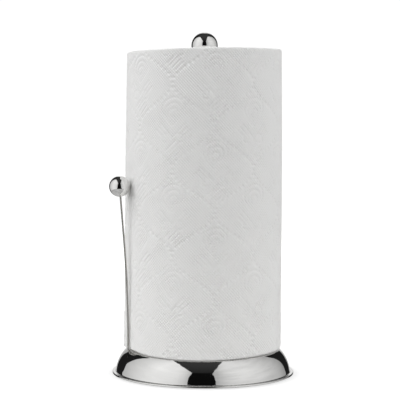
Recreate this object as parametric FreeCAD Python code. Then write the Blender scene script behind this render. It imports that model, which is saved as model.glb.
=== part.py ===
import FreeCAD, Part
import math
import os

# Countertop paper towel holder: a weighted, bell-shaped chrome base, a centre post with a ball
# finial, a sprung wire arm with a smaller ball, and the paper towel roll that it carries.
#
# Millimetres, +Z up. The origin is the middle of the underside, on the surface it stands on.
# The arm leans on the roll at ARM_AZIMUTH, seen from above and counted from +X.

Vector = FreeCAD.Vector
UP = Vector(0, 0, 1)
ORIGIN = Vector(0, 0, 0)

# ---------------------------------------------------------------- driving dimensions

# towel roll: a standard 11 inch kitchen roll on a cardboard core
ROLL_HEIGHT = 279.4
ROLL_RADIUS = 74.3
ROLL_BOTTOM_ROUND = 3.0
ROLL_TOP_ROUND = 1.5
CORE_INNER_RADIUS = 20.5
CORE_WALL = 1.7
CORE_GLUE_GAP = 0.05

# base shell: pressed steel bell, from the flat seat down to the rolled rim
SEAT_Z = 24.5
SHELL_WALL = 1.0
SHOULDER_ROUND = 5.0
FLANK_CENTRE_R = 50.9
FLANK_CENTRE_Z = -0.3
FLANK_ROUND = 32.1
FLARE_ROUND = 1.0
RIM_RADIUS = 86.2
RIM_BEAD_ROUND = 1.0
RIM_BOTTOM_Z = 0.4

# underside: a non-slip pad glued over a steel plate
PAD_THICKNESS = 1.6
PAD_RADIUS = 79.5
PLATE_THICKNESS = 1.2
PLATE_RADIUS = 81.4
PLATE_SCREW_COUNT = 3
PLATE_SCREW_CIRCLE = 48.0
PLATE_SCREW_RADIUS = 2.0
PLATE_SCREW_HEAD_RADIUS = 3.2
PLATE_SCREW_LENGTH = 9.0

# cast ballast inside the shell
BALLAST_RADIUS = 66.0
BALLAST_TOP_Z = 13.0
BALLAST_BOSS_RADIUS = 15.0
BALLAST_LIFT = 0.1
BALLAST_EDGE_ROUND = 2.0

# post, and the bolt that holds it down through the ballast
POST_RADIUS = 6.35
POST_WALL = 1.2
POST_TOP_Z = 296.0
PLUG_LENGTH = 20.0
BOLT_RADIUS = 3.0
BOLT_HOLE_RADIUS = 3.3
BOLT_HEAD_HEIGHT = 4.0
BOLT_HEAD_FLATS = 10.0
BOLT_HEAD_Z = 3.4
BOLT_GRIP_IN_PLUG = 16.0
LOCK_WASHER_THICKNESS = 1.5
LOCK_WASHER_RADIUS = 5.4
LOCK_WASHER_SPLIT = 1.0
WASHER_THICKNESS = 1.6
WASHER_RADIUS = 9.0
COUNTERBORE_RADIUS = 10.5
THREAD_GAP = 0.02

# finial
FINIAL_RADIUS = 12.5
FINIAL_Z = 309.8
NECK_HEIGHT = 2.5
NECK_WAIST = 1.0
STUD_LENGTH = 20.0
STUD_IN_BALL = 7.5

# collar that turns on the post and keeps the core in the middle
HUB_RADIUS = 19.9
HUB_HEIGHT = 14.0
HUB_RIM_WALL = 2.0
HUB_SLEEVE_WALL = 2.6
HUB_SPOKE_COUNT = 6
HUB_SPOKE_THICKNESS = 1.8
HUB_CHAMFER = 1.5
RUNNING_GAP = 0.08
THRUST_WASHER_RADIUS = 12.0
THRUST_WASHER_THICKNESS = 0.6

# arm: spring wire with a small ball, hinged just under the shoulder of the shell
ARM_AZIMUTH = 203.0
WIRE_RADIUS = 1.0
PIVOT_R = 72.6
PIVOT_Z = 16.0
WIRE_FOOT_Z = 21.0
WIRE_STAND_R = 75.7
WIRE_STAND_Z = 26.5
WIRE_FOOT_BEND = 5.0
WIRE_BOW_START_Z = 28.5
WIRE_BOW_RADIUS = 1150.0
WIRE_BOW_DEG = 5.0
ARM_BALL_RADIUS = 9.75
ARM_BALL_Z = 178.2
WIRE_IN_BALL = 7.0

# hinge of the arm
PIN_RADIUS = 1.5
PIN_LENGTH = 18.0
PIN_GROOVE_RADIUS = 1.2
BARREL_RADIUS = 3.2
BARREL_LENGTH = 4.4
BARREL_GAP = 0.05
EAR_THICKNESS = 1.2
EAR_INSIDE = 6.4
EAR_ROUND = 2.7
CLIP_RADIUS = 2.7
CLIP_THICKNESS = 0.5
CLIP_MOUTH = 1.8
BRACKET_INNER_R = 50.0
BRACKET_FOOT_R = 62.0
BRACKET_SCREW_R = 55.0
BRACKET_SCREW_SPACING = 7.0
BRACKET_SCREW_RADIUS = 1.5
BRACKET_SCREW_HEAD_RADIUS = 2.6
BRACKET_SCREW_HEAD_HEIGHT = 1.6
BRACKET_SCREW_LENGTH = 8.0
SPRING_WIRE_RADIUS = 0.4
SPRING_COIL_RADIUS = 2.4
SPRING_TURNS = 3
SPRING_LEG_END_R = 63.5
SPRING_TAIL = 1.4
SLOT_INNER_R = 71.6
SLOT_OUTER_R = 76.5
SLOT_WIDTH = 2.8

# ---------------------------------------------------------------- values worked out from them

ROLL_BOTTOM_Z = SEAT_Z + 0.2
ROLL_TOP_Z = ROLL_BOTTOM_Z + ROLL_HEIGHT
CORE_OUTER_RADIUS = CORE_INNER_RADIUS + CORE_WALL
PLATE_TOP_Z = PAD_THICKNESS + PLATE_THICKNESS
BALLAST_BOTTOM_Z = PLATE_TOP_Z + BALLAST_LIFT
SHELL_INSIDE_Z = SEAT_Z - SHELL_WALL
BOLT_SEAT_Z = BOLT_HEAD_Z + BOLT_HEAD_HEIGHT
COUNTERBORE_TOP_Z = BOLT_SEAT_Z + LOCK_WASHER_THICKNESS + WASHER_THICKNESS
PLUG_RADIUS = POST_RADIUS - POST_WALL
HUB_BOTTOM_Z = SEAT_Z + THRUST_WASHER_THICKNESS + 0.1
NECK_TOP_Z = POST_TOP_Z + NECK_HEIGHT


# ---------------------------------------------------------------- helpers

def ring(inner, outer, bottom, top):
    """A washer-shaped solid about Z; inner 0 gives a plain disc."""
    solid = Part.makeCylinder(outer, top - bottom, Vector(0, 0, bottom))
    if inner > 0:
        solid = solid.cut(Part.makeCylinder(inner, top - bottom, Vector(0, 0, bottom)))
    return solid


def line(start, end):
    """A straight edge between two (radius, height) points of a section."""
    return Part.LineSegment(Vector(start[0], 0, start[1]), Vector(end[0], 0, end[1])).toShape()


def point_on(centre, radius, degrees):
    """The (radius, height) point of a circle in the section plane."""
    turn = math.radians(degrees)
    return centre[0] + radius * math.cos(turn), centre[1] + radius * math.sin(turn)


def arc(centre, radius, start, end):
    """A round edge of a section, from one angle to another in degrees."""
    points = [point_on(centre, radius, d) for d in (start, (start + end) / 2, end)]
    return Part.Arc(*[Vector(r, 0, z) for r, z in points]).toShape()


def revolved(edges):
    """The solid that a closed section makes about Z."""
    return Part.Face(Part.Wire(edges)).revolve(ORIGIN, UP, 360)


def revolved_outline(points):
    """The same, for a section of straight edges through a list of (radius, height) points."""
    return revolved([line(a, b) for a, b in zip(points, points[1:] + points[:1])])


def box(low, high):
    """A block between two corners."""
    size = [b - a for a, b in zip(low, high)]
    return Part.makeBox(*size, Vector(*low))


def at_arm(shape):
    """Turns a shape from the XZ plane to where the arm stands."""
    shape.rotate(ORIGIN, UP, ARM_AZIMUTH)
    return shape


def crosswise(radius, half_length, middle=(PIVOT_R, PIVOT_Z)):
    """A cylinder along Y, centred on the hinge axis of the arm."""
    start = Vector(middle[0], -half_length, middle[1])
    return Part.makeCylinder(radius, 2 * half_length, start, Vector(0, 1, 0))


def hexagon(flats, bottom, top):
    """A hexagonal prism about Z, given across its flats."""
    corner = flats / math.sqrt(3)
    turns = [math.radians(60 * i) for i in range(7)]
    loop = [Vector(corner * math.cos(t), corner * math.sin(t), bottom) for t in turns]
    return Part.Face(Part.makePolygon(loop)).extrude(Vector(0, 0, top - bottom))


def around(shape, count, radius):
    """Copies of a shape made at the middle, spread evenly on a circle."""
    copies = []
    for i in range(count):
        copy = shape.copy()
        copy.translate(Vector(radius, 0, 0))
        copy.rotate(ORIGIN, UP, 360.0 * i / count)
        copies.append(copy)
    return copies


def sweep(edges, radius, start, direction):
    """A round wire along a path that starts at a point in a direction."""
    section = Part.Wire(Part.makeCircle(radius, start, direction))
    return Part.Wire(edges).makePipeShell([section], True, True)


# ---------------------------------------------------------------- base

def shell_section(wall):
    """Corners and round stretches of the bell, moved inwards by a wall thickness."""
    flank = (FLANK_CENTRE_R, FLANK_CENTRE_Z)
    flank_round = FLANK_ROUND - wall
    shoulder_round = SHOULDER_ROUND - wall
    top = SEAT_Z - wall
    rise = top - shoulder_round - flank[1]
    reach = math.sqrt((flank_round - shoulder_round) ** 2 - rise ** 2)
    shoulder = (flank[0] + reach, top - shoulder_round)
    meet = math.degrees(math.atan2(rise, reach))
    return flank, flank_round, shoulder, shoulder_round, meet, top


def base_shell():
    """Pressed bell with a flat seat, a round shoulder, a flared foot and a rolled rim."""
    flank, flank_round, shoulder, shoulder_round, meet, top = shell_section(0)
    _, in_round, in_shoulder, in_shoulder_round, in_meet, in_top = shell_section(SHELL_WALL)
    bead = (RIM_RADIUS - RIM_BEAD_ROUND, RIM_BOTTOM_Z + RIM_BEAD_ROUND)
    flange_z = RIM_BOTTOM_Z + 2 * RIM_BEAD_ROUND
    flare_rise = flange_z + FLARE_ROUND - flank[1]
    flare_reach = math.sqrt((flank_round + FLARE_ROUND) ** 2 - flare_rise ** 2)
    flare = (flank[0] + flare_reach, flange_z + FLARE_ROUND)
    flare_meet = math.degrees(math.atan2(flare_rise, flare_reach))
    in_foot_deg = math.degrees(math.asin((RIM_BOTTOM_Z - flank[1]) / in_round))
    in_foot = point_on(flank, in_round, in_foot_deg)
    edges = [
        line((BOLT_HOLE_RADIUS, top), (shoulder[0], top)),
        arc(shoulder, shoulder_round, 90, meet),
        arc(flank, flank_round, meet, flare_meet),
        arc(flare, FLARE_ROUND, 180 + flare_meet, 270),
        line((flare[0], flange_z), (bead[0], flange_z)),
        arc(bead, RIM_BEAD_ROUND, 90, -90),
        line((bead[0], RIM_BOTTOM_Z), in_foot),
        arc(flank, in_round, in_foot_deg, in_meet),
        arc(in_shoulder, in_shoulder_round, in_meet, 90),
        line((in_shoulder[0], in_top), (BOLT_HOLE_RADIUS, in_top)),
        line((BOLT_HOLE_RADIUS, in_top), (BOLT_HOLE_RADIUS, top)),
    ]
    return revolved(edges).cut(at_arm(arm_slot()))


def arm_slot():
    """Round-ended slot in the shoulder for the foot of the wire."""
    half = SLOT_WIDTH / 2
    low, high = PIVOT_Z, SEAT_Z + 1
    slot = box((SLOT_INNER_R + half, -half, low), (SLOT_OUTER_R - half, half, high))
    for r in (SLOT_INNER_R + half, SLOT_OUTER_R - half):
        slot = slot.fuse(Part.makeCylinder(half, high - low, Vector(r, 0, low)))
    return slot.removeSplitter()


def ballast_weight():
    """Cast disc with a raised boss that holds the seat of the shell up."""
    outline = [
        (BOLT_HOLE_RADIUS, COUNTERBORE_TOP_Z),
        (COUNTERBORE_RADIUS, COUNTERBORE_TOP_Z),
        (COUNTERBORE_RADIUS, BALLAST_BOTTOM_Z),
        (BALLAST_RADIUS - BALLAST_EDGE_ROUND, BALLAST_BOTTOM_Z),
        (BALLAST_RADIUS, BALLAST_BOTTOM_Z + BALLAST_EDGE_ROUND),
        (BALLAST_RADIUS, BALLAST_TOP_Z - BALLAST_EDGE_ROUND),
        (BALLAST_RADIUS - BALLAST_EDGE_ROUND, BALLAST_TOP_Z),
        (BALLAST_BOSS_RADIUS + BALLAST_EDGE_ROUND, BALLAST_TOP_Z),
        (BALLAST_BOSS_RADIUS, BALLAST_TOP_Z + BALLAST_EDGE_ROUND),
        (BALLAST_BOSS_RADIUS, SHELL_INSIDE_Z),
        (BOLT_HOLE_RADIUS, SHELL_INSIDE_Z),
    ]
    weight = revolved_outline(outline)
    drill_top = PAD_THICKNESS + PLATE_SCREW_LENGTH + 1
    hole = ring(0, PLATE_SCREW_RADIUS + THREAD_GAP, BALLAST_BOTTOM_Z, drill_top)
    for tool in around(hole, PLATE_SCREW_COUNT, PLATE_SCREW_CIRCLE):
        weight = weight.cut(tool)
    for hole in bracket_screw_places(BRACKET_SCREW_RADIUS + THREAD_GAP, BALLAST_TOP_Z - 8, BALLAST_TOP_Z):
        weight = weight.cut(at_arm(hole))
    return weight


def countersunk(radius, head_radius, bottom, length):
    """A flat-headed screw pointing up, its head flush with a face at bottom."""
    taper = head_radius - radius
    outline = [(0, bottom), (head_radius, bottom), (radius, bottom + taper),
               (radius, bottom + length - 1), (radius - 1, bottom + length), (0, bottom + length)]
    return revolved_outline(outline)


def base_plate():
    """Steel disc that closes the base, with countersunk holes for its screws."""
    plate = ring(0, PLATE_RADIUS, PAD_THICKNESS, PLATE_TOP_Z)
    tool = countersunk(PLATE_SCREW_RADIUS + 0.1, PLATE_SCREW_HEAD_RADIUS + 0.1, PAD_THICKNESS,
                       PLATE_SCREW_LENGTH)
    for hole in around(tool, PLATE_SCREW_COUNT, PLATE_SCREW_CIRCLE):
        plate = plate.cut(hole)
    return plate


def plate_screws():
    """The screws from the plate up into the ballast, with a cross recess in each head."""
    screw = countersunk(PLATE_SCREW_RADIUS, PLATE_SCREW_HEAD_RADIUS, PAD_THICKNESS,
                        PLATE_SCREW_LENGTH)
    reach, half, depth = 2.0, 0.4, 1.0
    for spread in ((reach, half), (half, reach)):
        low = (-spread[0], -spread[1], PAD_THICKNESS)
        high = (spread[0], spread[1], PAD_THICKNESS + depth)
        screw = screw.cut(box(low, high))
    return Part.Compound(around(screw, PLATE_SCREW_COUNT, PLATE_SCREW_CIRCLE))


def non_slip_pad():
    """Rubber disc under the plate, which the holder stands on."""
    return ring(0, PAD_RADIUS, 0, PAD_THICKNESS)


# ---------------------------------------------------------------- post and finial

def post_tube():
    """Chromed tube from the seat to just under the finial."""
    return ring(POST_RADIUS - POST_WALL, POST_RADIUS, SEAT_Z, POST_TOP_Z)


def threaded_plug(bottom):
    """Steel plug brazed into one end of the tube and tapped for a bolt."""
    return ring(BOLT_RADIUS + THREAD_GAP, PLUG_RADIUS, bottom, bottom + PLUG_LENGTH)


def post_bolt():
    """Hexagon bolt from the ballast up into the lower plug."""
    head = hexagon(BOLT_HEAD_FLATS, BOLT_HEAD_Z, BOLT_SEAT_Z)
    shank = ring(0, BOLT_RADIUS, BOLT_SEAT_Z, SEAT_Z + BOLT_GRIP_IN_PLUG)
    return head.fuse(shank)


def lock_washer():
    """Split spring washer under the bolt's head."""
    washer = ring(BOLT_RADIUS + 0.15, LOCK_WASHER_RADIUS, BOLT_SEAT_Z,
                  BOLT_SEAT_Z + LOCK_WASHER_THICKNESS)
    half = LOCK_WASHER_SPLIT / 2
    split = box((0, -half, BOLT_SEAT_Z), (LOCK_WASHER_RADIUS + 1, half, COUNTERBORE_TOP_Z))
    return washer.cut(split)


def flat_washer():
    """Wide plain washer between the lock washer and the ballast."""
    return ring(BOLT_RADIUS + 0.2, WASHER_RADIUS, BOLT_SEAT_Z + LOCK_WASHER_THICKNESS,
                COUNTERBORE_TOP_Z)


def finial_neck():
    """Waisted ring between the tube and the ball."""
    waist = (POST_RADIUS + NECK_WAIST, POST_TOP_Z + NECK_HEIGHT / 2)
    half = NECK_HEIGHT / 2
    waist_round = (half ** 2 + NECK_WAIST ** 2) / (2 * NECK_WAIST)
    centre = (POST_RADIUS - NECK_WAIST + waist_round, waist[1])
    swing = math.degrees(math.asin(half / waist_round))
    low = point_on(centre, waist_round, 180 + swing)
    high = point_on(centre, waist_round, 180 - swing)
    hole = BOLT_RADIUS + 0.2
    edges = [
        line((hole, POST_TOP_Z), low),
        arc(centre, waist_round, 180 + swing, 180 - swing),
        line(high, (hole, NECK_TOP_Z)),
        line((hole, NECK_TOP_Z), (hole, POST_TOP_Z)),
    ]
    return revolved(edges)


def finial_stud():
    """Threaded rod that joins the ball to the upper plug."""
    top = NECK_TOP_Z + STUD_IN_BALL
    return ring(0, BOLT_RADIUS, top - STUD_LENGTH, top)


def finial_ball():
    """Chromed ball with a flat where it sits on its neck, and a tapped hole."""
    ball = Part.makeSphere(FINIAL_RADIUS, Vector(0, 0, FINIAL_Z))
    ball = ball.cut(ring(0, FINIAL_RADIUS, FINIAL_Z - FINIAL_RADIUS - 1, NECK_TOP_Z))
    return ball.cut(ring(0, BOLT_RADIUS + THREAD_GAP, NECK_TOP_Z - 1, NECK_TOP_Z + STUD_IN_BALL + 0.5))


# ---------------------------------------------------------------- collar and roll

def thrust_washer():
    """Slippery washer that the collar turns on."""
    return ring(POST_RADIUS + 0.2, THRUST_WASHER_RADIUS, SEAT_Z, SEAT_Z + THRUST_WASHER_THICKNESS)


def core_collar():
    """Moulded collar with a sleeve on the post, spokes, and a rim that fills the core."""
    top = HUB_BOTTOM_Z + HUB_HEIGHT
    bore = POST_RADIUS + RUNNING_GAP
    sleeve = ring(bore, bore + HUB_SLEEVE_WALL, HUB_BOTTOM_Z, top)
    inner = HUB_RADIUS - HUB_RIM_WALL
    rim = revolved_outline([
        (inner, HUB_BOTTOM_Z),
        (HUB_RADIUS, HUB_BOTTOM_Z),
        (HUB_RADIUS, top - HUB_CHAMFER * 2),
        (HUB_RADIUS - HUB_CHAMFER, top),
        (inner, top),
    ])
    collar = sleeve.fuse(rim)
    half = HUB_SPOKE_THICKNESS / 2
    for i in range(HUB_SPOKE_COUNT):
        spoke = box((bore + 1, -half, HUB_BOTTOM_Z), (inner + 1, half, top - HUB_CHAMFER * 2))
        spoke.rotate(ORIGIN, UP, 360.0 * i / HUB_SPOKE_COUNT)
        collar = collar.fuse(spoke)
    return collar.removeSplitter()


def core_tube():
    """Cardboard tube that the towels are wound on."""
    return ring(CORE_INNER_RADIUS, CORE_OUTER_RADIUS, ROLL_BOTTOM_Z, ROLL_TOP_Z)


def towel_roll():
    """The wound towels, with softly rounded outer corners."""
    inner = CORE_OUTER_RADIUS + CORE_GLUE_GAP
    low_r, low_z = ROLL_RADIUS - ROLL_BOTTOM_ROUND, ROLL_BOTTOM_Z + ROLL_BOTTOM_ROUND
    high_r, high_z = ROLL_RADIUS - ROLL_TOP_ROUND, ROLL_TOP_Z - ROLL_TOP_ROUND
    edges = [
        line((inner, ROLL_BOTTOM_Z), (low_r, ROLL_BOTTOM_Z)),
        arc((low_r, low_z), ROLL_BOTTOM_ROUND, -90, 0),
        line((ROLL_RADIUS, low_z), (ROLL_RADIUS, high_z)),
        arc((high_r, high_z), ROLL_TOP_ROUND, 0, 90),
        line((high_r, ROLL_TOP_Z), (inner, ROLL_TOP_Z)),
        line((inner, ROLL_TOP_Z), (inner, ROLL_BOTTOM_Z)),
    ]
    return revolved(edges)


# ---------------------------------------------------------------- arm

def rounded(points, radius):
    """Edges through (radius, height) points, with a tangent arc at each inner point."""
    edges = []
    start = Vector(points[0][0], 0, points[0][1])
    for before, corner, after in zip(points, points[1:], points[2:]):
        here = Vector(corner[0], 0, corner[1])
        back = (Vector(before[0], 0, before[1]) - here).normalize()
        ahead = (Vector(after[0], 0, after[1]) - here).normalize()
        turn = math.pi - back.getAngle(ahead)
        reach = radius * math.tan(turn / 2)
        centre = here + (back + ahead).normalize() * (radius / math.cos(turn / 2))
        middle = centre + (here - centre).normalize() * radius
        edges.append(Part.LineSegment(start, here + back * reach).toShape())
        edges.append(Part.Arc(here + back * reach, middle, here + ahead * reach).toShape())
        start = here + ahead * reach
    end = Vector(points[-1][0], 0, points[-1][1])
    edges.append(Part.LineSegment(start, end).toShape())
    return edges


def wire_line():
    """Centre line of the arm in the XZ plane, and where it stops in which direction."""
    foot = [(PIVOT_R, PIVOT_Z + PIN_RADIUS + 0.4), (PIVOT_R, WIRE_FOOT_Z),
            (WIRE_STAND_R, WIRE_STAND_Z), (WIRE_STAND_R, WIRE_BOW_START_Z)]
    bow_centre = (WIRE_STAND_R + WIRE_BOW_RADIUS, WIRE_BOW_START_Z)
    bow_end = point_on(bow_centre, WIRE_BOW_RADIUS, 180 - WIRE_BOW_DEG)
    lean = math.tan(math.radians(WIRE_BOW_DEG))
    ball = (bow_end[0] + (ARM_BALL_Z - bow_end[1]) * lean, ARM_BALL_Z)
    direction = Vector(math.sin(math.radians(WIRE_BOW_DEG)), 0, math.cos(math.radians(WIRE_BOW_DEG)))
    tip = Vector(ball[0], 0, ball[1]) - direction * (ARM_BALL_RADIUS - WIRE_IN_BALL)
    edges = rounded(foot, WIRE_FOOT_BEND)
    edges.append(arc(bow_centre, WIRE_BOW_RADIUS, 180, 180 - WIRE_BOW_DEG))
    edges.append(line(bow_end, (tip.x, tip.z)))
    return edges, foot[0], ball, tip, direction


def arm_wire():
    """Spring wire: bent foot, upright stretch, long outward bow, straight tip."""
    edges, start, _, _, _ = wire_line()
    return at_arm(sweep(edges, WIRE_RADIUS, Vector(start[0], 0, start[1]), UP))


def arm_ball():
    """Chromed ball with a blind hole for the tip of the wire."""
    _, _, centre, tip, direction = wire_line()
    ball = Part.makeSphere(ARM_BALL_RADIUS, Vector(centre[0], 0, centre[1]))
    mouth = tip - direction * (ARM_BALL_RADIUS + WIRE_IN_BALL)
    depth = ARM_BALL_RADIUS + WIRE_IN_BALL + THREAD_GAP
    return at_arm(ball.cut(Part.makeCylinder(WIRE_RADIUS + THREAD_GAP, depth, mouth, direction)))


def arm_barrel():
    """Knuckle on the hinge pin, drilled for the wire and for the tail of the spring."""
    barrel = crosswise(BARREL_RADIUS, BARREL_LENGTH / 2)
    barrel = barrel.cut(crosswise(PIN_RADIUS + BARREL_GAP, BARREL_LENGTH))
    socket = Part.makeCylinder(WIRE_RADIUS + THREAD_GAP, BARREL_RADIUS,
                               Vector(PIVOT_R, 0, PIVOT_Z + PIN_RADIUS + 0.3))
    tail = Part.makeCylinder(SPRING_WIRE_RADIUS + 0.1, SPRING_TAIL + 0.2,
                             Vector(PIVOT_R, BARREL_LENGTH / 2 + 0.1, PIVOT_Z - SPRING_COIL_RADIUS),
                             Vector(0, -1, 0))
    return at_arm(barrel.cut(socket).cut(tail))


def pivot_pin():
    """Hinge pin with a groove near each end."""
    pin = crosswise(PIN_RADIUS, PIN_LENGTH / 2)
    for side in (1, -1):
        groove = crosswise(PIN_RADIUS + 1, CLIP_THICKNESS / 2).cut(
            crosswise(PIN_GROOVE_RADIUS, CLIP_THICKNESS))
        groove.translate(Vector(0, side * clip_offset(), 0))
        pin = pin.cut(groove)
    return at_arm(pin)


def clip_offset():
    """Distance of each clip from the middle of the pin, just outside the ears."""
    return EAR_INSIDE + EAR_THICKNESS + CLIP_THICKNESS / 2 + 0.1


def pin_clips():
    """Two open retaining clips in the grooves of the pin."""
    clips = []
    for side in (1, -1):
        clip = crosswise(CLIP_RADIUS, CLIP_THICKNESS / 2).cut(
            crosswise(PIN_GROOVE_RADIUS, CLIP_THICKNESS))
        half = CLIP_MOUTH / 2
        mouth = box((PIVOT_R - half, -1, PIVOT_Z - CLIP_RADIUS - 1), (PIVOT_R + half, 1, PIVOT_Z))
        mouth = mouth.cut(crosswise(PIN_GROOVE_RADIUS, CLIP_THICKNESS + 1))
        clip = clip.cut(mouth)
        clip.translate(Vector(0, side * clip_offset(), 0))
        clips.append(at_arm(clip))
    return Part.Compound(clips)


def bracket_screw_places(radius, bottom, top):
    """Upright cylinders at the two screws of the bracket."""
    places = []
    for side in (1, -1):
        middle = Vector(BRACKET_SCREW_R, side * BRACKET_SCREW_SPACING / 2, bottom)
        places.append(Part.makeCylinder(radius, top - bottom, middle))
    return places


def arm_bracket():
    """Folded steel clevis on the ballast, with an ear on each side of the barrel."""
    outside = EAR_INSIDE + EAR_THICKNESS
    floor_top = BALLAST_TOP_Z + EAR_THICKNESS
    bracket = box((BRACKET_INNER_R, -outside, BALLAST_TOP_Z), (BRACKET_FOOT_R, outside, floor_top))
    for side in (1, -1):
        low_y = min(side * EAR_INSIDE, side * outside)
        ear = box((BRACKET_INNER_R + 4, low_y, BALLAST_TOP_Z),
                  (PIVOT_R, low_y + EAR_THICKNESS, PIVOT_Z + EAR_ROUND))
        nose = Part.makeCylinder(EAR_ROUND, EAR_THICKNESS, Vector(PIVOT_R, low_y, PIVOT_Z),
                                 Vector(0, 1, 0))
        bracket = bracket.fuse(ear).fuse(nose)
    bracket = bracket.cut(crosswise(PIN_RADIUS + THREAD_GAP, outside + 1))
    for hole in bracket_screw_places(BRACKET_SCREW_RADIUS + 0.1, BALLAST_TOP_Z, floor_top):
        bracket = bracket.cut(hole)
    return at_arm(bracket.removeSplitter())


def bracket_screws():
    """Two pan-headed screws that hold the bracket on the ballast."""
    floor_top = BALLAST_TOP_Z + EAR_THICKNESS
    tip = floor_top - BRACKET_SCREW_LENGTH
    shanks = bracket_screw_places(BRACKET_SCREW_RADIUS, tip, floor_top)
    heads = bracket_screw_places(BRACKET_SCREW_HEAD_RADIUS, floor_top,
                                 floor_top + BRACKET_SCREW_HEAD_HEIGHT)
    return Part.Compound([at_arm(shank.fuse(head)) for shank, head in zip(shanks, heads)])


def torsion_spring():
    """Coil on the pin: a long leg rests on the ballast, a short tail hooks into the barrel."""
    start_y = BARREL_LENGTH / 2 + SPRING_WIRE_RADIUS + 0.1
    pitch = (EAR_INSIDE - start_y - SPRING_WIRE_RADIUS - 0.1) / SPRING_TURNS
    helix = Part.makeHelix(pitch, pitch * SPRING_TURNS, SPRING_COIL_RADIUS)
    helix.rotate(ORIGIN, Vector(1, 0, 0), -90)
    helix.rotate(ORIGIN, Vector(0, 1, 0), 90)
    helix.translate(Vector(PIVOT_R, start_y, PIVOT_Z))
    ends = sorted((vertex.Point for vertex in (helix.Vertexes[0], helix.Vertexes[-1])),
                  key=lambda point: point.y)
    bottom_z = PIVOT_Z - SPRING_COIL_RADIUS
    coil = Part.Wire(helix.Edges).makePipeShell(
        [Part.Wire(Part.makeCircle(SPRING_WIRE_RADIUS, ends[0], Vector(1, 0, 0)))], True, True)
    leg = Part.makeCylinder(SPRING_WIRE_RADIUS, ends[1].x - SPRING_LEG_END_R,
                            Vector(SPRING_LEG_END_R, ends[1].y, bottom_z), Vector(1, 0, 0))
    knee = Part.makeSphere(SPRING_WIRE_RADIUS, ends[0])
    tail = Part.makeCylinder(SPRING_WIRE_RADIUS, ends[0].y - BARREL_LENGTH / 2 + SPRING_TAIL,
                             ends[0], Vector(0, -1, 0))
    return at_arm(coil.fuse([leg, knee, tail]))


# ---------------------------------------------------------------- write the pieces

PIECES = {
    "base_shell": base_shell,
    "ballast_weight": ballast_weight,
    "base_plate": base_plate,
    "plate_screws": plate_screws,
    "non_slip_pad": non_slip_pad,
    "post_tube": post_tube,
    "post_lower_plug": lambda: threaded_plug(SEAT_Z),
    "post_upper_plug": lambda: threaded_plug(POST_TOP_Z - PLUG_LENGTH),
    "post_bolt": post_bolt,
    "post_lock_washer": lock_washer,
    "post_flat_washer": flat_washer,
    "finial_neck": finial_neck,
    "finial_stud": finial_stud,
    "finial_ball": finial_ball,
    "collar_thrust_washer": thrust_washer,
    "core_collar": core_collar,
    "core_tube": core_tube,
    "towel_roll": towel_roll,
    "arm_wire": arm_wire,
    "arm_ball": arm_ball,
    "arm_barrel": arm_barrel,
    "arm_pivot_pin": pivot_pin,
    "arm_pin_clips": pin_clips,
    "arm_bracket": arm_bracket,
    "arm_bracket_screws": bracket_screws,
    "arm_torsion_spring": torsion_spring,
}


def main():
    os.makedirs("parts", exist_ok=True)
    for name, make in PIECES.items():
        shape = make()
        solids = shape.Solids
        valid = all(solid.isValid() for solid in solids)
        print(f"{name}: {len(solids)} solid(s), valid {valid}, {shape.Volume / 1000:.3f} cm3")
        shape = solids[0] if len(solids) == 1 else Part.Compound(solids)
        shape.exportStep(f"parts/{name}.step")


main()
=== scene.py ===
import math

import bpy
import numpy as np
from mathutils import Matrix, Vector


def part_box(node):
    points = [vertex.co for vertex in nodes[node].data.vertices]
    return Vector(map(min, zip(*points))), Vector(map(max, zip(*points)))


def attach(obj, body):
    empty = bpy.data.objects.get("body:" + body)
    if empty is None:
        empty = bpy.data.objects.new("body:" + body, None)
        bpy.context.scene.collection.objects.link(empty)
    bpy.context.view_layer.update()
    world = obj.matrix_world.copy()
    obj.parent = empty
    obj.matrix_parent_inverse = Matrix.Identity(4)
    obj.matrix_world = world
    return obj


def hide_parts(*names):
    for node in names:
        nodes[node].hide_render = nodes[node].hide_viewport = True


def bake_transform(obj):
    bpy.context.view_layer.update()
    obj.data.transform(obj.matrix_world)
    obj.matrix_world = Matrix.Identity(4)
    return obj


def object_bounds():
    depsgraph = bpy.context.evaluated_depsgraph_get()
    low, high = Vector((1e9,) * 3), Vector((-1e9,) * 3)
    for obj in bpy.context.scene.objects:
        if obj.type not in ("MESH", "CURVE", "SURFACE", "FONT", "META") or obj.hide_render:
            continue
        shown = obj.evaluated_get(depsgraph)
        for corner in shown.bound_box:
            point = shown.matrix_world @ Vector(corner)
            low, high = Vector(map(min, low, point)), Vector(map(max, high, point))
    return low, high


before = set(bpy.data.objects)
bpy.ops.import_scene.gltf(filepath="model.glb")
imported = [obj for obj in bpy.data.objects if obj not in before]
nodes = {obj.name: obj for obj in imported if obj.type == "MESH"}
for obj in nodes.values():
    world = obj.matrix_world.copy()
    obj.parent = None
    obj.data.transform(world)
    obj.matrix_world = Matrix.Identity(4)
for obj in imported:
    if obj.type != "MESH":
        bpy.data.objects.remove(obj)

# Looks of the countertop paper towel holder: polished chrome with clean studio reflections, and
# a full roll of embossed paper towel. Metres, +Z up, the CAD model's own frame.

cad_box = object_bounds()
MM = 0.001


# ---------------------------------------------------------------- measures read from the frame

def radius_of(node):
    """Half the width of a round node that stands on the axis."""
    low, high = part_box(node)
    return (high.x - low.x) / 2


def bottom_of(node):
    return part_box(node)[0].z


def top_of(node):
    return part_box(node)[1].z


ROLL_RADIUS = radius_of("towel_roll")
ROLL_BOTTOM = bottom_of("towel_roll")
ROLL_TOP = top_of("towel_roll")
ROLL_HEIGHT = ROLL_TOP - ROLL_BOTTOM
CORE_RADIUS = radius_of("core_tube")


# ---------------------------------------------------------------- node helpers

def feed(tree, socket, value):
    """Links value to the socket if it is a node's output, or else sets the socket to it."""
    if isinstance(value, bpy.types.NodeSocket):
        tree.links.new(value, socket)
    else:
        socket.default_value = value


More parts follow.
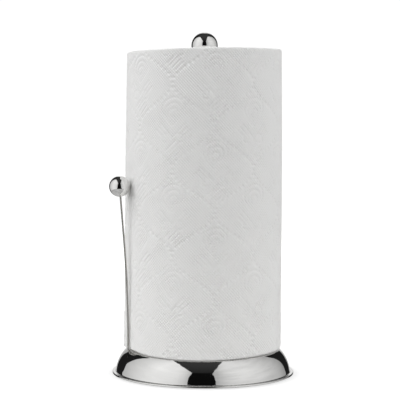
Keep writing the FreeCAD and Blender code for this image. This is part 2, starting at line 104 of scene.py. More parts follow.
class Look:
    """A node material: its Principled shader, and short calls that add the nodes in front of it."""

    def __init__(self, name, colour, roughness, metallic=0.0):
        self.material = bpy.data.materials.new(name)
        self.material.use_nodes = True
        self.tree = self.material.node_tree
        self.shader = self.tree.nodes["Principled BSDF"]
        self.put(self.shader, "Base Color", (*colour, 1.0))
        self.put(self.shader, "Roughness", roughness)
        self.put(self.shader, "Metallic", metallic)
        self.place = self.tree.nodes.new("ShaderNodeTexCoord").outputs["Object"]

    def put(self, node, name, value):
        feed(self.tree, node.inputs[name], value)

    def stretched(self, scale):
        """The object's coordinates times scale, one number per axis."""
        node = self.tree.nodes.new("ShaderNodeMapping")
        self.put(node, "Vector", self.place)
        self.put(node, "Scale", scale)
        return node.outputs["Vector"]

    def noise(self, scale, detail=3.0, roughness=0.5, at=None):
        """Noise of about 0 to 1 over the object's coordinates, or over those given as at."""
        node = self.tree.nodes.new("ShaderNodeTexNoise")
        self.put(node, "Vector", at or self.place)
        self.put(node, "Scale", scale)
        self.put(node, "Detail", detail)
        self.put(node, "Roughness", roughness)
        return node.outputs["Fac"]

    def ramp(self, value, low, high, to_low, to_high):
        """value from low..high mapped to to_low..to_high and held at the ends."""
        node = self.tree.nodes.new("ShaderNodeMapRange")
        self.put(node, "Value", value)
        self.put(node, "From Min", low)
        self.put(node, "From Max", high)
        self.put(node, "To Min", to_low)
        self.put(node, "To Max", to_high)
        return node.outputs["Result"]

    def math(self, operation, a, b=0.0):
        """The result of a Math node on numbers or other nodes' outputs."""
        node = self.tree.nodes.new("ShaderNodeMath")
        node.operation = operation
        feed(self.tree, node.inputs[0], a)
        feed(self.tree, node.inputs[1], b)
        return node.outputs[0]

    def blend(self, factor, colour_a, colour_b):
        """colour_a where factor is 0, colour_b where it is 1."""
        node = self.tree.nodes.new("ShaderNodeMix")
        node.data_type = "RGBA"
        feed(self.tree, node.inputs[0], factor)
        for socket, colour in ((node.inputs[6], colour_a), (node.inputs[7], colour_b)):
            feed(self.tree, socket, (*colour, 1.0) if isinstance(colour, tuple) else colour)
        return node.outputs[2]

    def bump(self, height, distance, over=None):
        """A bumped normal, with distance in metres. over is a bumped normal that it adds to."""
        node = self.tree.nodes.new("ShaderNodeBump")
        self.put(node, "Height", height)
        self.put(node, "Distance", distance)
        self.put(node, "Strength", 1.0)
        if over is not None:
            self.put(node, "Normal", over)
        return node.outputs["Normal"]

    def finish(self, **inputs):
        """Links or sets the shader's inputs, with _ for the spaces in their names."""
        for name, value in inputs.items():
            self.put(self.shader, name.replace("_", " "), value)
        return self.material


# ---------------------------------------------------------------- materials

def times(colour, factor):
    """The colour, darker or lighter by a factor."""
    return tuple(factor * part for part in colour)


def chrome_material(name, colour, smudge):
    """Polished plate: faint wiping haze in the roughness, and a barely wavy surface."""
    look = Look(name, colour, 0.03, metallic=1.0)
    haze = look.noise(38.0, detail=5.0, roughness=0.6)
    fine = look.noise(900.0, detail=2.0)
    wiped = look.ramp(haze, 0.42, 0.75, 0.022, smudge)
    rough = look.math("ADD", wiped, look.ramp(fine, 0.3, 0.8, 0.0, 0.012))
    tint = look.blend(look.ramp(haze, 0.3, 0.8, 0.0, 1.0), colour, times(colour, 0.97))
    waves = look.bump(look.noise(55.0, detail=1.0), 0.02 * MM)
    return look.finish(Base_Color=tint, Roughness=rough, Normal=waves)


def wire_material(name, colour):
    """Plated spring wire, with the fine lengthwise marks that drawing leaves."""
    look = Look(name, colour, 0.12, metallic=1.0)
    marks = look.noise(700.0, detail=3.0, at=look.stretched((1.0, 1.0, 0.02)))
    rough = look.ramp(marks, 0.3, 0.75, 0.06, 0.16)
    tint = look.blend(marks, colour, times(colour, 0.93))
    return look.finish(Base_Color=tint, Roughness=rough, Normal=look.bump(marks, 0.01 * MM))


def plated_steel_material(name, colour, roughness):
    """Zinc plate or plain spring steel: a spangled, slightly uneven satin surface."""
    look = Look(name, colour, roughness, metallic=1.0)
    spangle = look.noise(420.0, detail=4.0, roughness=0.65)
    cloud = look.noise(60.0, detail=2.0)
    warm = tuple(min(1.0, c * k) for c, k in zip(colour, (1.06, 1.03, 0.94)))
    tint = look.blend(look.ramp(cloud, 0.35, 0.7, 0.0, 1.0), colour, warm)
    rough = look.ramp(spangle, 0.25, 0.8, 0.75 * roughness, 1.35 * roughness)
    return look.finish(Base_Color=tint, Roughness=rough, Normal=look.bump(spangle, 0.03 * MM))


def cast_iron_material(name, colour):
    """Sand-cast iron under a thin coat of black paint."""
    look = Look(name, colour, 0.6)
    grain = look.noise(600.0, detail=6.0, roughness=0.7)
    lumps = look.noise(90.0, detail=3.0)
    tint = look.blend(look.ramp(grain, 0.35, 0.75, 0.0, 1.0), colour, times(colour, 1.7))
    surface = look.bump(grain, 0.25 * MM, over=look.bump(lumps, 0.5 * MM))
    rough = look.ramp(grain, 0.3, 0.8, 0.5, 0.78)
    return look.finish(Base_Color=tint, Roughness=rough, Normal=surface)


def rubber_material(name, colour):
    """Foam rubber sheet with closed pores and a little lint."""
    look = Look(name, colour, 0.85)
    pores = look.noise(1500.0, detail=4.0, roughness=0.7)
    lint = look.ramp(look.noise(260.0, detail=5.0), 0.62, 0.8, 0.0, 0.6)
    tint = look.blend(lint, colour, tuple(c + 0.05 for c in colour))
    rough = look.ramp(pores, 0.3, 0.8, 0.75, 0.95)
    return look.finish(Base_Color=tint, Roughness=rough, Normal=look.bump(pores, 0.12 * MM))


def plastic_material(name, colour, roughness):
    """Injection-moulded plastic: fine spark texture and soft flow marks."""
    look = Look(name, colour, roughness)
    texture = look.noise(1800.0, detail=2.0)
    flow = look.noise(45.0, detail=3.0, at=look.stretched((1.0, 1.0, 0.35)))
    tint = look.blend(look.ramp(flow, 0.3, 0.75, 0.0, 1.0), colour, times(colour, 0.95))
    rough = look.ramp(texture, 0.25, 0.8, 0.85 * roughness, 1.2 * roughness)
    return look.finish(
        Base_Color=tint, Roughness=rough, Normal=look.bump(texture, 0.02 * MM),
        Subsurface_Weight=0.15, Subsurface_Scale=0.001,
    )


def cardboard_material(name, colour):
    """Wound kraft board: a spiral seam, paler and darker plies, and fibres."""
    look = Look(name, colour, 0.9)
    apart = look.tree.nodes.new("ShaderNodeSeparateXYZ")
    look.put(apart, "Vector", look.place)
    angle = look.math("ARCTAN2", apart.outputs["Y"], apart.outputs["X"])
    turn = look.math("DIVIDE", angle, 2 * math.pi)
    along = look.math("DIVIDE", apart.outputs["Z"], 95 * MM)
    spiral = look.math("FRACT", look.math("ADD", look.math("ADD", turn, along), 10.0))
    from_seam = look.math("ABSOLUTE", look.math("SUBTRACT", spiral, 0.5))
    seam = look.ramp(from_seam, 0.0, 0.012, 1.0, 0.0)
    fibres = look.noise(900.0, detail=5.0, roughness=0.7, at=look.stretched((1.0, 1.0, 0.3)))
    flecks = look.ramp(look.noise(350.0, detail=2.0), 0.66, 0.74, 0.0, 0.5)
    plain = look.blend(look.ramp(fibres, 0.3, 0.75, 0.0, 1.0), colour, times(colour, 0.82))
    flecked = look.blend(flecks, plain, times(colour, 0.6))
    tint = look.blend(seam, flecked, times(colour, 0.45))
    surface = look.bump(look.math("SUBTRACT", fibres, look.math("MULTIPLY", seam, 2.0)), 0.12 * MM)
    return look.finish(Base_Color=tint, Normal=surface)


def towel_material(name, colour):
    """Soft two-ply tissue: fibres, and a faint quilted micro-pattern over the unrolled sheet."""
    look = Look(name, colour, 0.95)
    flat = look.tree.nodes.new("ShaderNodeUVMap")
    flat.uv_map = "unrolled"

    def ribs(direction, pitch):
        """Fine ribs square to a direction on the unrolled sheet, pitch metres apart."""
        dot = look.tree.nodes.new("ShaderNodeVectorMath")
        dot.operation = "DOT_PRODUCT"
        look.tree.links.new(flat.outputs["UV"], dot.inputs[0])
        dot.inputs[1].default_value = (*direction, 0.0)
        return look.math("SINE", look.math("MULTIPLY", dot.outputs["Value"], 2 * math.pi / pitch))

    patchy = look.ramp(look.noise(70.0, detail=3.0), 0.38, 0.62, 0.25, 1.0)
    quilt = look.math("ADD", ribs((0.72, 0.69), 2.0 * MM), ribs((0.70, -0.71), 1.95 * MM))
    quilt = look.math("MULTIPLY", quilt, patchy)
    fibres = look.noise(1300.0, detail=6.0, roughness=0.75)
    cloud = look.noise(30.0, detail=4.0, roughness=0.6)
    shade = look.blend(look.ramp(cloud, 0.3, 0.75, 0.0, 1.0), colour, times(colour, 0.975))
    tint = look.blend(look.ramp(fibres, 0.45, 0.8, 0.0, 0.8), shade, times(colour, 0.94))
    surface = look.bump(fibres, 0.20 * MM, over=look.bump(quilt, 0.085 * MM))
    return look.finish(
        Base_Color=tint, Normal=surface, Sheen_Weight=0.08, Sheen_Roughness=0.6,
        Specular_IOR_Level=0.25,
    )


CHROME = (0.86, 0.857, 0.845)
ZINC = (0.62, 0.63, 0.65)
MATERIALS = {
    "chrome": chrome_material("chrome_polished", CHROME, 0.06),
    "chrome_wire": wire_material("chrome_drawn_wire", (0.52, 0.51, 0.49)),
    "zinc_steel": plated_steel_material("zinc_plated_steel", ZINC, 0.32),
    "spring_steel": plated_steel_material("spring_steel_plain", (0.36, 0.36, 0.38), 0.35),
    "ballast_iron": cast_iron_material("cast_iron_painted", (0.045, 0.045, 0.048)),
    "pad_rubber": rubber_material("foam_rubber", (0.03, 0.03, 0.032)),
    "washer_nylon": plastic_material("nylon", (0.82, 0.82, 0.78), 0.4),
    "collar_plastic": plastic_material("moulded_plastic", (0.88, 0.88, 0.87), 0.35),
    "core_cardboard": cardboard_material("kraft_board", (0.50, 0.37, 0.24)),
    "towel_paper": towel_material("towel_tissue", (0.90, 0.90, 0.895)),
}

for node in nodes.values():
    for slot in node.material_slots:
        slot.material = MATERIALS[slot.material.name.split(".")[0]]


# ---------------------------------------------------------------- the embossed sheet

GRID_STEP = 0.8 * MM
COLUMNS = round(2 * math.pi * ROLL_RADIUS / GRID_STEP)
CELLS_ROUND = 6
CELL_WIDTH = 2 * math.pi * ROLL_RADIUS / CELLS_ROUND
CELL_HEIGHT = 78 * MM
GIRTH = CELL_WIDTH * CELLS_ROUND
RELIEF = 0.6 * MM
TAIL_ANGLE = math.radians(25)
PERFORATION_ANGLE = TAIL_ANGLE + math.radians(145)
SHEET_STEP = 0.4 * MM
# where the first cell's middle lies, in cells round from the right and up from the bottom
FIRST_CELL = (0.62, 0.18)


class Sheet:
    """Depths over the unrolled outer sheet: s runs round the roll and z up it, both in metres."""

    def __init__(self, heights_z):
        self.z = heights_z
        self.s = np.arange(COLUMNS) * (GIRTH / COLUMNS)
        self.depth = np.zeros((len(self.z), COLUMNS))

    def press(self, s, z, depth, radius):
        """Presses in one soft round dot. Where dots overlap, the deeper one counts."""
        reach = 2.5 * radius
        rows = np.nonzero(np.abs(self.z - z) < reach)[0]
        if len(rows) == 0:
            return
        first = int(math.floor((s - reach) / GIRTH * COLUMNS))
        last = int(math.ceil((s + reach) / GIRTH * COLUMNS))
        columns = np.arange(first, last + 1)
        across = columns * GIRTH / COLUMNS - s
        up = self.z[rows] - z
        dot = depth * np.exp(-(up[:, None] ** 2 + across[None, :] ** 2) / radius ** 2)
        patch = np.ix_(rows, columns % COLUMNS)
        self.depth[patch] = np.maximum(self.depth[patch], dot)

    def line(self, points, depth, radius, spacing):
        """Dots along a polyline, evenly spaced: close together they make a groove."""
        points = np.asarray(points)
        lengths = np.hypot(*np.diff(points, axis=0).T)
        travelled = np.concatenate(([0.0], np.cumsum(lengths)))
        count = max(1, round(travelled[-1] / spacing))
        for at in np.linspace(0.0, travelled[-1], count + 1)[:-1]:
            s = np.interp(at, travelled, points[:, 0])
            z = np.interp(at, travelled, points[:, 1])
            self.press(s, z, depth, radius)


def ogee(side, s, z):
    """One side of a lattice cell's outline, from its bottom point to its top point."""
    v = np.linspace(-0.5, 0.5, 60)
    reach = 0.25 * (1 + np.cos(2 * math.pi * v))
    return np.column_stack((s + side * reach * CELL_WIDTH, z + v * CELL_HEIGHT))


def petal(s, z, width, height, lean):
    """A closed leaf outline standing on (s, z), leaning to one side."""
    t = np.linspace(0.0, 2 * math.pi, 48)
    up = (1 - np.cos(t)) / 2
    across = np.sin(t) * np.sin(up * math.pi * 0.5 + 0.25) * width / 2
    return np.column_stack((s + across + lean * up ** 2, z + up * height))


def curl(s, z, size, side):
    """A scroll that sets off upwards from (s, z), swings out to one side and curls back in."""
    t = np.linspace(0.0, 1.0, 40)
    angle = 1.65 * math.pi * t
    reach = size * (1.0 - 0.72 * t)
    return np.column_stack((s + side * (size - reach * np.cos(angle)), z + reach * np.sin(angle)))


def strokes(s, z, side, count):
    """Parallel lines at about 45 degrees, each below and beside the last and a little shorter."""
    lines = []
    for step in range(count):
        start = np.array((s + side * step * 2.2 * MM, z - step * 2.6 * MM))
        length = (13.0 - 0.8 * step) * MM
        lines.append((start, start + np.array((side * -0.72 * length, -0.69 * length))))
    return lines


def motif(sheet, s, z):
    """What fills one lattice cell: a nested leaf, two scrolls, and rows of slanting strokes."""
    groove = {"depth": 0.75 * RELIEF, "radius": 0.8 * MM, "spacing": 0.7 * MM}
    for width, height, foot in ((24, 25, 1), (16, 17, 4), (8, 9, 7)):
        sheet.line(petal(s, z + foot * MM, width * MM, height * MM, 2 * MM), **groove)
    for side in (-1, 1):
        sheet.line(curl(s, z - 12 * MM, 7 * MM, side), **groove)
        for stroke in strokes(s + side * 12 * MM, z + 2 * MM, side, 3):
            sheet.line(stroke, **groove)
    for stroke in strokes(s + 3 * MM, z - 13 * MM, 1, 5):
        sheet.line(stroke, **groove)


def uneven_pressing(sheet):
    """How fully the pattern came out, 0.5 to 1.1, in broad soft patches over the sheet."""
    rng = np.random.default_rng(5)
    total = np.zeros_like(sheet.depth)
    for _ in range(14):
        turns = rng.integers(2, 9)
        rise = rng.uniform(-9.0, 9.0) / ROLL_HEIGHT
        waves = turns * sheet.s[None, :] / GIRTH + rise * sheet.z[:, None]
        total += np.sin(2 * math.pi * waves + rng.uniform(0, 7))
    return np.clip(0.8 + 0.09 * total, 0.5, 1.1)


def embossed(heights_z):
    """The relief of the outer sheet: a staggered ogee lattice of dots with a motif in each cell.

    Neighbouring cells share their outlines, so only every second row draws them.
    """
    sheet = Sheet(heights_z)
    rows = range(-1, math.ceil(ROLL_HEIGHT / CELL_HEIGHT * 2) + 2)
    for row in rows:
        z = ROLL_BOTTOM + (row / 2 + FIRST_CELL[1]) * CELL_HEIGHT
        for cell in range(CELLS_ROUND):
            s = (cell + (row % 2) / 2 + FIRST_CELL[0]) * CELL_WIDTH
            if row % 2 == 0:
                for side in (-1, 1):
                    sheet.line(ogee(side, s, z), depth=RELIEF, radius=1.35 * MM, spacing=4.7 * MM)
            motif(sheet, s, z)
    cut = PERFORATION_ANGLE / (2 * math.pi) * GIRTH
    slit = {"depth": 0.3 * MM, "radius": 0.6 * MM, "spacing": 0.6 * MM}
    for z in np.arange(ROLL_BOTTOM, ROLL_TOP, 4 * MM):
        sheet.line(((cut, z), (cut, z + 2.4 * MM)), **slit)
    return sheet.depth * uneven_pressing(sheet)


# ---------------------------------------------------------------- the towel roll

# Places round the roll in degrees, anticlockwise from above: 180 is the left and 270 the front.
FRONT = 262.0
BESIDE_ARM = 205.0
LEFT_EDGE = 178.0
LEFT_BULGE = 176.0


def smooth_noise(rng, angle, waves):
    """A closed, gentle curve round the roll made of a few sine waves, about -1 to 1."""
    total = np.zeros_like(angle)
    for wave in range(1, waves + 1):
        total += rng.normal() * np.sin(wave * angle + rng.uniform(0, 2 * math.pi)) / math.sqrt(wave)
    return total / math.sqrt(waves)


def near(angle, middle, spread):
    """1 at an angle in degrees round the roll, falling softly to 0 within about twice spread."""
    apart = np.mod(angle - math.radians(middle) + math.pi, 2 * math.pi) - math.pi
    return np.exp(-(apart / math.radians(spread)) ** 2)


def side_radius(z, angle):
    """The roll's radius before embossing: slimmer at the top, and pushed out low on the left."""
    up = (z - ROLL_BOTTOM) / ROLL_HEIGHT
    taper = -1.3 * MM * np.clip((up - 0.45) / 0.55, 0.0, 1.0) ** 1.5
    bulge = 1.5 * MM * (1.0 - up) ** 1.3 * near(angle, LEFT_BULGE, 12.0)
    wound = np.mod(angle - TAIL_ANGLE, 2 * math.pi) / (2 * math.pi)
    return ROLL_RADIUS + taper + bulge - SHEET_STEP * wound


def towel_loops():
    """The skin as closed loops: up the embossed side, over the wound end, down the bore and back.

    Each loop comes with its height on the unrolled sheet. The lower edge is sharpest in front and
    on the left, and rounder elsewhere. It sags in front and lifts a little beside the arm.
    """
    rng = np.random.default_rng(11)
    angle = np.arange(COLUMNS) * 2 * math.pi / COLUMNS
    bottom_round = 1.0 * MM
    worn = 1.6 * MM * (1.0 - near(angle, FRONT, 40.0) - near(angle, LEFT_EDGE, 10.0))
    low_round = bottom_round + worn
    sag = -1.3 * MM * near(angle, FRONT, 50.0) + 1.3 * MM * near(angle, BESIDE_ARM, 14.0)
    top_round = 1.4 * MM
    bore = CORE_RADIUS + 0.05 * MM
    top_wave = 0.30 * MM * smooth_noise(rng, angle, 7) + 1.7 * MM * np.cos(angle)

    side_z = np.arange(ROLL_BOTTOM + bottom_round, ROLL_TOP - top_round, GRID_STEP)
    relief = -embossed(side_z)
    loops = []
    unrolled = []

    def add(radius, z, along):
        loops.append(np.column_stack((radius * np.cos(angle), radius * np.sin(angle), z)))
        unrolled.append(along)

    # the lower edge
    for turn in np.linspace(0.0, math.pi / 2, 6)[:-1]:
        radius = side_radius(side_z[0], angle) - low_round * (1 - math.sin(turn))
        radius += relief[0] * math.sin(turn)
        z = ROLL_BOTTOM + sag + low_round * (1 - math.cos(turn))
        add(radius, z, side_z[0] - bottom_round * (1 - turn * 2 / math.pi))
    # the side, whose lowest twelfth follows the lower edge and its top tenth the upper one
    for z, heights in zip(side_z, relief):
        up = (z - ROLL_BOTTOM) / ROLL_HEIGHT
        lifted = z + top_wave * max(0.0, up - 0.9) * 10 + (worn + sag) * max(0.0, 1 - up * 12)
        add(side_radius(z, angle) + heights, lifted, z)
    # the upper edge
    for turn in np.linspace(0.0, math.pi / 2, 5)[1:]:
        radius = side_radius(side_z[-1], angle) + relief[-1] - top_round * (1 - math.cos(turn))
        z = ROLL_TOP - top_round * (1 - math.sin(turn)) + top_wave
        add(radius, z, side_z[-1] + top_round * turn)

    # the wound end, inwards to the bore
    ring_step = 1.1 * MM
    outer = side_radius(side_z[-1], angle) + relief[-1] - top_round
    rings = round((ROLL_RADIUS - top_round - bore) / ring_step)
    for ring in range(1, rings + 1):
        part = ring / rings
        ripple = 0.22 * MM * rng.normal() + 0.12 * MM * smooth_noise(rng, angle, 5)
        z = ROLL_TOP + top_wave * (1 - part) + ripple * (ring < rings)
        add(outer * (1 - part) + bore * part, z, side_z[-1] + ring * ring_step)
    # the bore, downwards
    for up in (0.97, 0.5, 0.03):
        height = up * ROLL_HEIGHT
        add(np.full(COLUMNS, bore), np.full(COLUMNS, ROLL_BOTTOM + height), height)
    # the underside, outwards from the bore
    inner = side_radius(side_z[0], angle) - low_round
    rings = round((ROLL_RADIUS - bottom_round - bore) / (2 * ring_step))
    for ring in range(rings):
        part = ring / rings
        ripple = 0.1 * MM * rng.random(COLUMNS) * (ring > 0)
        level = ROLL_BOTTOM + 0.05 * MM + sag * part ** 30
        add(bore * (1 - part) + inner * part, level + ripple, ring * ring_step)
    return loops, unrolled


def closed_skin(name, loops, unrolled):
    """A mesh of quads through the loops, the last joined to the first, unrolled for its texture."""
    rows = len(loops)
    points = np.concatenate(loops)
    grid = np.arange(rows * COLUMNS).reshape(rows, COLUMNS)
    right = np.roll(grid, -1, axis=1)
    faces = np.stack((grid, right, np.roll(right, -1, axis=0), np.roll(grid, -1, axis=0)), axis=-1)
    faces = faces.reshape(-1, 4)

    mesh = bpy.data.meshes.new(name)
    mesh.vertices.add(len(points))
    mesh.vertices.foreach_set("co", points.ravel())
    mesh.loops.add(4 * len(faces))
    mesh.loops.foreach_set("vertex_index", faces.ravel())
    mesh.polygons.add(len(faces))
    mesh.polygons.foreach_set("loop_start", np.arange(len(faces)) * 4)
    mesh.update(calc_edges=True)
    mesh.validate()
    mesh.shade_smooth()

    around = np.arange(COLUMNS + 1) * (GIRTH / COLUMNS)
    height_of = np.array(unrolled)
    row = np.repeat(np.arange(rows), COLUMNS)
    column = np.tile(np.arange(COLUMNS), rows)
    next_row = (row + 1) % rows
    near_u = around[column]
    far_u = around[column + 1]
    low_v = height_of[row]
    high_v = height_of[next_row]
    corners_u = np.stack((near_u, far_u, far_u, near_u), axis=-1)
    corners_v = np.stack((low_v, low_v, high_v, high_v), axis=-1)
    layer = mesh.uv_layers.new(name="unrolled")
    layer.data.foreach_set("uv", np.stack((corners_u, corners_v), axis=-1).ravel())
    return mesh


def towel_roll():
    """The wound towels, in place of their plain CAD solid."""
    mesh = closed_skin("towel_roll_paper", *towel_loops())
    mesh.materials.append(MATERIALS["towel_paper"])
    piece = bpy.data.objects.new("towel_roll_paper", mesh)
    bpy.context.scene.collection.objects.link(piece)
    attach(piece, "roll")
    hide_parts("towel_roll")


towel_roll()


# ---------------------------------------------------------------- the spring of the arm

def torsion_spring():
    """The spring's own shape, as a piece of its own in place of the CAD node.

    Its coil runs along the pin from 2.7 mm, where the tail is hooked in the barrel of the arm, to
    5.9 mm, where the leg goes off to the base.
    """
    source = nodes["arm_torsion_spring"]
    piece = bpy.data.objects.new("arm_spring_coil", source.data.copy())
    bpy.context.scene.collection.objects.link(piece)
    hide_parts("arm_torsion_spring")
    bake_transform(piece)


torsion_spring()


# ---------------------------------------------------------------- studio

DIRECTIONS_FROM_Z = 0.1
ROLL_MIDDLE = Vector((0.0, 0.0, 0.16))
SEEN_WHITE = 1.05


def staged(name, points, faces, material, camera=False, glossy=False, diffuse=False):
    """A stage mesh that only the named kinds of ray can see."""
    mesh = bpy.data.meshes.new(name)
    mesh.from_pydata(points, [], faces)
    mesh.materials.append(material)
    thing = bpy.data.objects.new(name, mesh)
    bpy.context.scene.collection.objects.link(thing)
    thing.visible_camera = camera
    thing.visible_glossy = glossy
    thing.visible_diffuse = diffuse
    thing.visible_shadow = False
    thing.visible_transmission = False
    return thing


def towards(azimuth, elevation, distance=3.0):
    """The point that far off in a direction. Azimuth 0 is the camera's side, and + is right."""
    a = math.radians(azimuth)
    e = math.radians(elevation)
    to_right = distance * math.sin(a) * math.cos(e)
    to_camera = distance * math.cos(a) * math.cos(e)
    return (to_right, -to_camera, distance * math.sin(e) + DIRECTIONS_FROM_Z)


# The outlines of the cards that the chrome reflects, as (azimuth, elevation) in degrees.
RIGHT_SOFTBOX = [
    (28, -24), (22, -10), (16.5, 3), (17, 10), (16.3, 22), (14.8, 29), (13.5, 32.5), (13.5, 35.5),
    (15, 39), (17, 42), (21.5, 48), (26.5, 54.5), (34, 60.5), (44, 66), (60, 70.5), (80, 71),
    (104, 64), (122, 47), (129, 32), (131.5, 23), (134.5, 13), (136, 3), (136.5, -3), (140, -10),
    (146, -24),
]
LEFT_SOFTBOX = [
    (-28, -24), (-23, -10), (-20, 0), (-19.5, 9), (-19, 22), (-18, 28), (-16.3, 35), (-16.3, 38),
    (-19, 41), (-22.5, 44), (-26, 47), (-34, 52.5), (-44, 57.5), (-56, 61.5), (-65, 63),
    (-78, 64.5), (-94, 63), (-104, 57), (-114, 46), (-119.5, 36.5), (-122, 27), (-124.5, 19),
    (-126.5, 13), (-126.5, 5), (-127, 0), (-129.5, -5), (-134, -24),
]
BACKDROP = [
    (158, -1), (160, 4), (157, 9), (155, 14), (157, 22), (164, 45), (180, 54), (194, 45),
    (201, 30), (206, 20), (208, 14), (207, 8), (205, 4), (202, -4), (198, -24), (164, -24),
    (159, -8),
]
CAMERA_SIDE = [(30, -24), (22, 0), (16, 38), (-18, 38), (-22, 0), (-30, -24)]
TABLE_BELOW = [(0, -90)] + [(azimuth, -24) for azimuth in range(0, 361, 20)] + [(360, -90)]

# How bright the cards are: (azimuth without its sign, brightness). LIFT multiplies them all, and
# is (elevation, factor).
RIGHT_GLOW = (
    (14, 0.45), (22, 0.54), (30, 0.69), (40, 0.78), (52, 0.82), (70, 0.81), (86, 0.76),
    (118, 0.51), (136, 0.33),
)
LEFT_GLOW = (
    (17, 0.48), (22, 0.62), (30, 0.77), (40, 0.86), (55, 0.90), (70, 0.94), (86, 0.84),
    (118, 0.60), (130, 0.50),
)
BACKDROP_GLOW = ((160, 0.45), (168, 0.75), (180, 0.88), (192, 0.75), (200, 0.45))
LIFT = ((-14, 0.97), (10, 0.98), (30, 1.04), (46, 1.06), (60, 0.98))


def card(name, outline, middle, glow, folds=0.0, distance=3.0):
    """A card that only reflections see, filled in rings. folds is how uneven its light is."""
    rim = []
    for here, after in zip(outline, outline[1:] + outline[:1]):
        for part in np.linspace(0.0, 1.0, 5)[:-1]:
            rim.append(np.array(here) * (1 - part) + np.array(after) * part)
    rings = 8
    count = len(rim)
    corners = [np.array(middle, dtype=float)]
    for ring in range(1, rings + 1):
        corners += [corners[0] + (corner - corners[0]) * ring / rings for corner in rim]
    faces = [(0, 1 + i, 1 + (i + 1) % count) for i in range(count)]
    for ring in range(rings - 1):
        start = 1 + ring * count
        for i in range(count):
            after = (i + 1) % count
            faces.append((start + i, start + count + i, start + count + after, start + after))
    points = [towards(azimuth, elevation, distance) for azimuth, elevation in corners]
    look = Look(name, (0.0, 0.0, 0.0), 1.0)
    attribute = look.tree.nodes.new("ShaderNodeAttribute")
    attribute.attribute_name = "glow"
    cloth = look.noise(1.1, detail=3.0, at=look.stretched((0.5, 0.5, 2.4)))
    uneven = look.ramp(cloth, 0.4, 0.65, 1.0, 1.0 - folds)
    look.finish(
        Emission_Color=(1.0, 1.0, 1.0, 1.0), Specular_IOR_Level=0.0,
        Emission_Strength=look.math("MULTIPLY", attribute.outputs["Fac"], uneven),
    )
    thing = staged(name, points, faces, look.material, glossy=True)
    values = [
        np.interp(abs(azimuth), *zip(*glow)) * np.interp(elevation, *zip(*LIFT))
        for azimuth, elevation in corners
    ]
    thing.data.attributes.new("glow", "FLOAT", "POINT").data.foreach_set("value", values)


card("softbox_right", RIGHT_SOFTBOX, (80, 28), RIGHT_GLOW, folds=0.12)
card("softbox_left", LEFT_SOFTBOX, (-75, 26), LEFT_GLOW, folds=0.05)
card("backdrop_reflected", BACKDROP, (181, 15), BACKDROP_GLOW)
card("camera_side", CAMERA_SIDE, (0, 3), ((0, 0.004), (180, 0.004)), distance=3.3)
card("table_reflected", TABLE_BELOW, (180, -57), ((0, 0.58), (360, 0.58)), folds=0.3)


def flat_sheet(name, reach, height, material, camera=False, diffuse=False):
    """A square stage sheet round the axis, reach from its middle to each side."""
    signs = ((-1, -1), (1, -1), (1, 1), (-1, 1))
    corners = [(x * reach, y * reach, height) for x, y in signs]
    staged(name, corners, [(0, 1, 2, 3)], material, camera=camera, diffuse=diffuse)


def white_floor():
    """White from a little way out, with a painted shadow under the rim, and clear when looked at
    from below.
    """
    look = Look("floor_white", (0.9, 0.9, 0.9), 0.9)
    tree = look.tree
    away = tree.nodes.new("ShaderNodeVectorMath")
    away.operation = "LENGTH"
    tree.links.new(look.place, away.inputs[0])
    rim = cad_box[1].x
    # painted shadow: the floor glows less right under the rim, standing in for the base's contact
    # shadow
    painted_rim_shadow = 0.75
    glow = look.ramp(away.outputs["Value"], 0.99 * rim, 1.16 * rim, painted_rim_shadow, SEEN_WHITE)
    look.finish(Emission_Color=(1.0, 1.0, 1.0, 1.0), Emission_Strength=glow, Specular_IOR_Level=0.0)
    clear = tree.nodes.new("ShaderNodeBsdfTransparent")
    sides = tree.nodes.new("ShaderNodeMixShader")
    tree.links.new(tree.nodes.new("ShaderNodeNewGeometry").outputs["Backfacing"], sides.inputs[0])
    tree.links.new(look.shader.outputs[0], sides.inputs[1])
    tree.links.new(clear.outputs[0], sides.inputs[2])
    tree.links.new(sides.outputs[0], tree.nodes["Material Output"].inputs[0])
    flat_sheet("floor", reach=12.0, height=-0.3 * MM, material=look.material, camera=True)


white_floor()
table = Look("table_pale", (0.62, 0.615, 0.60), 0.9).finish(Specular_IOR_Level=0.0)
flat_sheet("table", reach=0.42, height=0.0, material=table, diffuse=True)


def area_light(name, azimuth, elevation, distance, width, height, brightness):
    """A soft panel aimed at the middle of the roll. brightness is what a white card would show."""
    data = bpy.data.lights.new(name, "AREA")
    data.shape = "RECTANGLE"
    data.size = width
    data.size_y = height
    data.energy = brightness * math.pi * width * height
    light = bpy.data.objects.new(name, data)
    bpy.context.scene.collection.objects.link(light)
    place = Vector(towards(azimuth, elevation, distance))
    aim = ROLL_MIDDLE - place
    light.rotation_euler = aim.to_track_quat("-Z", "Y").to_euler()
    light.location = place
    light.visible_glossy = False
    light.visible_camera = False


# (azimuth of a pair of side panels, brightness of the left one, brightness of the right one)
SIDE_PANELS = (
    (29, 1.07, 0.93), (53, 1.46, 1.27), (77, 1.84, 1.60), (101, 1.27, 1.04), (125, 0.34, 0.24),
)
SIDE_PANEL = {"elevation": 33, "distance": 1.7, "width": 0.72, "height": 2.2}
BACK_PANEL = {"elevation": 50, "distance": 1.8, "width": 1.8, "height": 1.2}
for azimuth, left, right in SIDE_PANELS:
    area_light(f"light_left_{azimuth}", -azimuth, brightness=left, **SIDE_PANEL)
    area_light(f"light_right_{azimuth}", azimuth, brightness=right, **SIDE_PANEL)
area_light("light_back", 180, brightness=0.6, **BACK_PANEL)


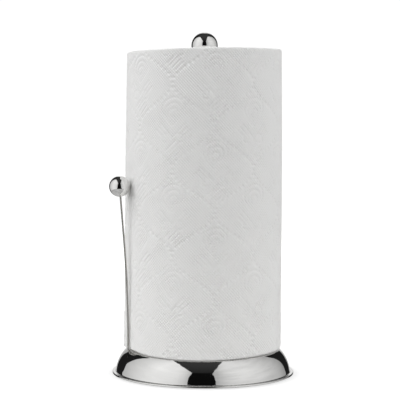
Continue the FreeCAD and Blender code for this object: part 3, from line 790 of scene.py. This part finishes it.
def studio_world():
    """White to the camera, nearly dark in reflections with a lighter ceiling, and dim otherwise."""
    world = bpy.data.worlds.new("studio")
    bpy.context.scene.world = world
    world.use_nodes = True
    tree = world.node_tree
    ray = tree.nodes.new("ShaderNodeLightPath")

    def choose(kind, otherwise, then):
        """The brightness then for that kind of ray, and otherwise for the rest."""
        node = tree.nodes.new("ShaderNodeMix")
        node.data_type = "FLOAT"
        feed(tree, node.inputs[0], ray.outputs[kind])
        feed(tree, node.inputs[2], otherwise)
        feed(tree, node.inputs[3], then)
        return node.outputs[0]

    sky = tree.nodes.new("ShaderNodeTexCoord")
    apart = tree.nodes.new("ShaderNodeSeparateXYZ")
    tree.links.new(sky.outputs["Generated"], apart.inputs[0])
    ceiling = tree.nodes.new("ShaderNodeMapRange")
    tree.links.new(apart.outputs["Z"], ceiling.inputs["Value"])
    limits = {"From Min": 0.58, "From Max": 0.95, "To Min": 0.0125, "To Max": 0.040}
    for name, value in limits.items():
        ceiling.inputs[name].default_value = value
    dim = 0.06
    unseen = choose("Is Glossy Ray", dim, ceiling.outputs["Result"])
    background = tree.nodes["Background"]
    background.inputs["Color"].default_value = (1.0, 1.0, 1.0, 1.0)
    feed(tree, background.inputs["Strength"], choose("Is Camera Ray", unseen, SEEN_WHITE))


studio_world()


# ---------------------------------------------------------------- camera

CAMERA_PLACE = (0.0010, -1.2810, 0.2343)
# in degrees
LOOKS_DOWN = 3.132
LOOKS_RIGHT = -0.205
TILTS = 0.284
# in millimetres
SENSOR_WIDTH = 36.0
LENS = 121.9


def look_through():
    """The viewpoint: 1.28 m in front of the axis, 0.234 m above the table, looking a bit down."""
    pitch = math.radians(LOOKS_DOWN)
    yaw = math.radians(LOOKS_RIGHT)
    tilt = math.radians(TILTS)
    ahead = math.cos(pitch)
    forward = Vector((math.sin(yaw) * ahead, math.cos(yaw) * ahead, -math.sin(pitch)))
    level = forward.cross(Vector((0, 0, 1))).normalized()
    upright = level.cross(forward)
    right = level * math.cos(tilt) + upright * math.sin(tilt)
    up = upright * math.cos(tilt) - level * math.sin(tilt)
    turned = Matrix((right, up, -forward)).transposed().to_4x4()
    data = bpy.data.cameras.new("camera")
    data.sensor_width = SENSOR_WIDTH
    data.lens = LENS
    data.clip_end = 50.0
    camera = bpy.data.objects.new("camera", data)
    bpy.context.scene.collection.objects.link(camera)
    camera.matrix_world = Matrix.Translation(CAMERA_PLACE) @ turned
    bpy.context.scene.camera = camera


look_through()
bpy.context.scene.view_settings.view_transform = "Standard"
